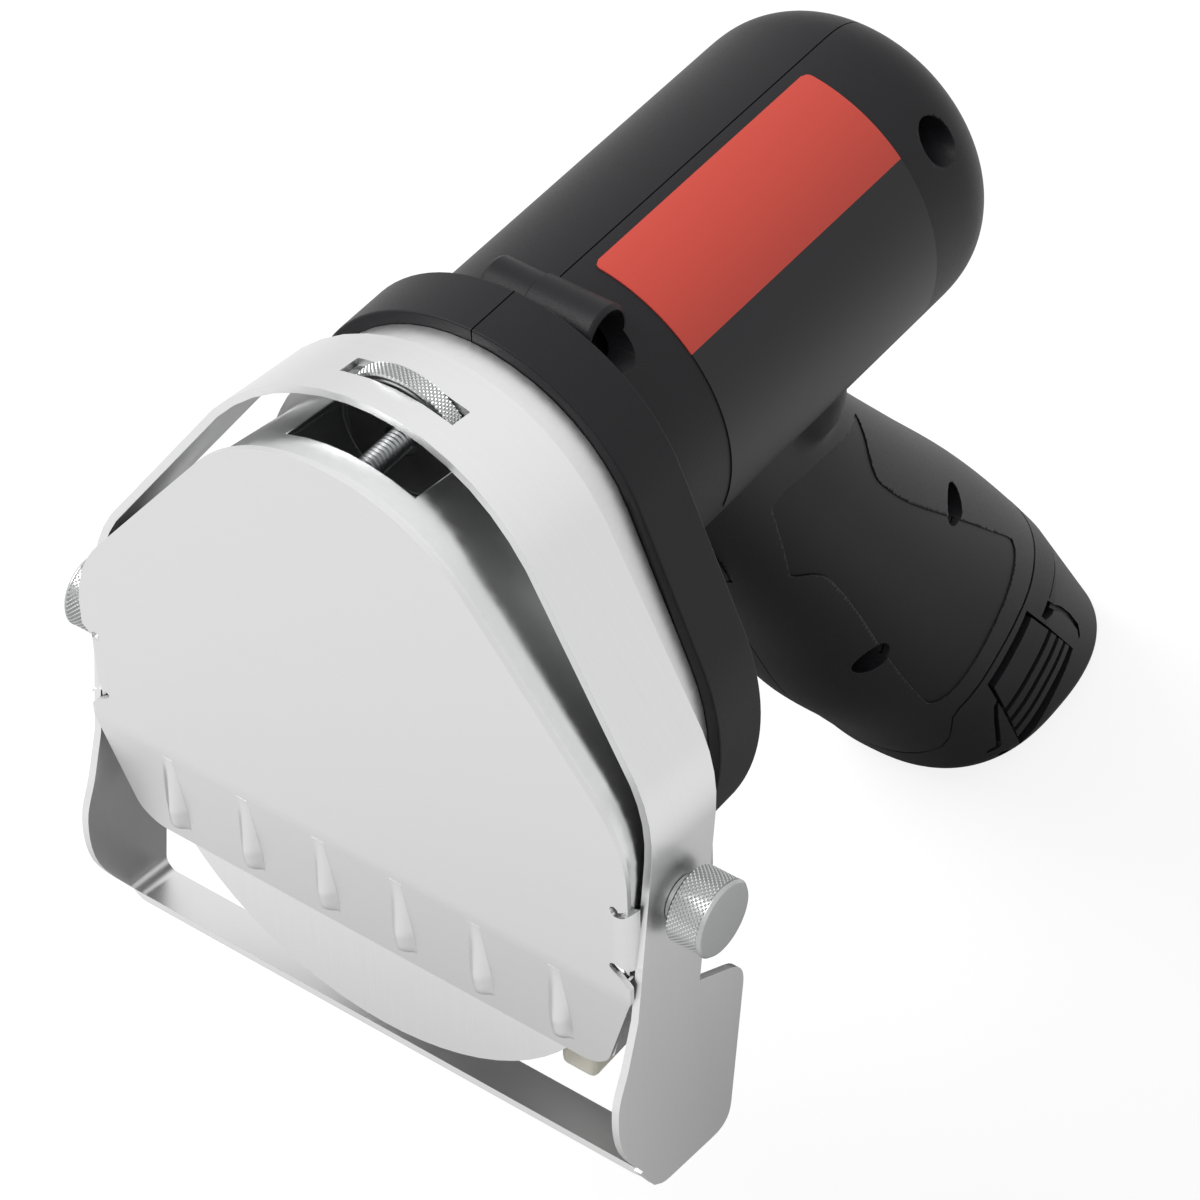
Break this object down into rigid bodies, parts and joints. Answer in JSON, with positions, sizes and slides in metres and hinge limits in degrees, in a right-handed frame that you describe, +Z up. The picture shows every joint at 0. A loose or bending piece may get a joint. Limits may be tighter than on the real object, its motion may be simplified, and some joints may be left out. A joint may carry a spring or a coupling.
{
  "type": "cordless kebab slicer",
  "caption": "Cordless kebab slicer with a round blade behind a steel guard plate, a hinged thickness hoop with knurled knobs, and a black pistol grip holding a slide-in battery.",
  "frame": {"origin": "centre of the bounding box in X and Y, at the battery's flat foot in Z", "axes": "+X is the tool's right, +Y runs back along the motor from the blade, +Z is up"},
  "size_m": [0.1292, 0.2176, 0.1985],
  "materials": {
    "stainless": "satin",
    "steel": "machined",
    "cast_alloy": "satin",
    "black_plastic": "fine matte texture",
    "grip": "matte",
    "red_label": "satin film",
    "black_label": "satin film",
    "nylon": "natural",
    "winding": "enamelled wire",
    "board": "solder mask",
    "cell_wrap": "shrink wrap"
  },
  "bodies": {
    "housing": {"housing_right": "black_plastic", "housing_left": "black_plastic", "housing_screw_1": "steel", "housing_screw_2": "steel", "housing_screw_3": "steel", "housing_screw_4": "steel", "label_red": "red_label", "label_black": "black_label", "grip_panel_right": "grip", "grip_panel_left": "grip", "guard_plate": "stainless", "blade_shroud": "stainless", "blade_pad": "nylon", "pivot_nut_left": "steel", "pivot_nut_right": "steel", "adjuster_stud": "steel", "gear_case": "cast_alloy", "gear_cover": "cast_alloy", "front_bearing": "steel", "rear_bearing": "steel", "cover_screw_1": "steel", "cover_screw_2": "steel", "motor_screw_1": "steel", "motor_screw_2": "steel", "motor_can": "steel", "motor_end_cap": "black_plastic", "control_board": "board", "trigger_switch": "black_plastic"},
    "blade_drive": {"blade": "stainless", "blade_spindle": "steel", "blade_nut": "steel", "driven_gear": "steel"},
    "rotor": {"motor_shaft": "steel", "armature": "winding", "pinion": "steel"},
    "hoop": {"guide_hoop": "stainless"},
    "wheel": {"adjuster_wheel": "steel"},
    "left_thumbscrew": {"thumbscrew_left": "steel"},
    "right_thumbscrew": {"thumbscrew_right": "steel"},
    "trigger_piece": {"trigger": "black_plastic"},
    "battery": {"battery_case": "black_plastic", "terminal_cap": "black_plastic", "cell_1": "cell_wrap", "cell_2": "cell_wrap", "cell_3": "cell_wrap", "cell_4": "cell_wrap"},
    "left_latch": {"latch_left": "black_plastic"},
    "right_latch": {"latch_right": "black_plastic"}
  },
  "joints": [
    {"name": "blade_spin", "type": "hinge", "parent": "housing", "child": "blade_drive", "pos_m": [0, -0.09925, 0.114], "axis": [0, 1, 0], "continuous": true},
    {"name": "rotor_spin", "type": "hinge", "parent": "housing", "child": "rotor", "pos_m": [0, -0.05835, 0.1615], "axis": [0, 1, 0], "continuous": true},
    {"name": "hoop_tilt", "type": "hinge", "parent": "housing", "child": "hoop", "pos_m": [0, -0.09135, 0.1245], "axis": [1, 0, 0], "range_deg": [0, 5.9]},
    {"name": "wheel_turn", "type": "hinge", "parent": "hoop", "child": "wheel", "pos_m": [0, -0.08275, 0.1865], "axis": [0, 1, 0], "range_deg": [0, 2880]},
    {"name": "left_thumbscrew_turn", "type": "hinge", "parent": "housing", "child": "left_thumbscrew", "pos_m": [-0.0568, -0.09135, 0.1245], "axis": [1, 0, 0], "range_deg": [0, 720]},
    {"name": "right_thumbscrew_turn", "type": "hinge", "parent": "housing", "child": "right_thumbscrew", "pos_m": [0.0568, -0.09135, 0.1245], "axis": [1, 0, 0], "range_deg": [0, 720]},
    {"name": "trigger_pull", "type": "slide", "parent": "housing", "child": "trigger_piece", "axis": [0, 0.8358, 0.549], "range_m": [0, 0.005], "stiffness_N_per_m": 800},
    {"name": "battery_slide", "type": "slide", "parent": "housing", "child": "battery", "axis": [0, 0.549, -0.8358], "range_m": [0, 0.045]},
    {"name": "left_latch_press", "type": "slide", "parent": "battery", "child": "left_latch", "axis": [1, 0, 0], "range_m": [0, 0.0015], "stiffness_N_per_m": 1000},
    {"name": "right_latch_press", "type": "slide", "parent": "battery", "child": "right_latch", "axis": [-1, 0, 0], "range_m": [0, 0.0015], "stiffness_N_per_m": 1000}
  ],
  "couplings": [
    {"joint": "rotor_spin", "follows": "blade_spin", "ratio": -1.9231},
    {"joint": "hoop_tilt", "follows": "wheel_turn", "ratio": 0.0020486}
  ]
}
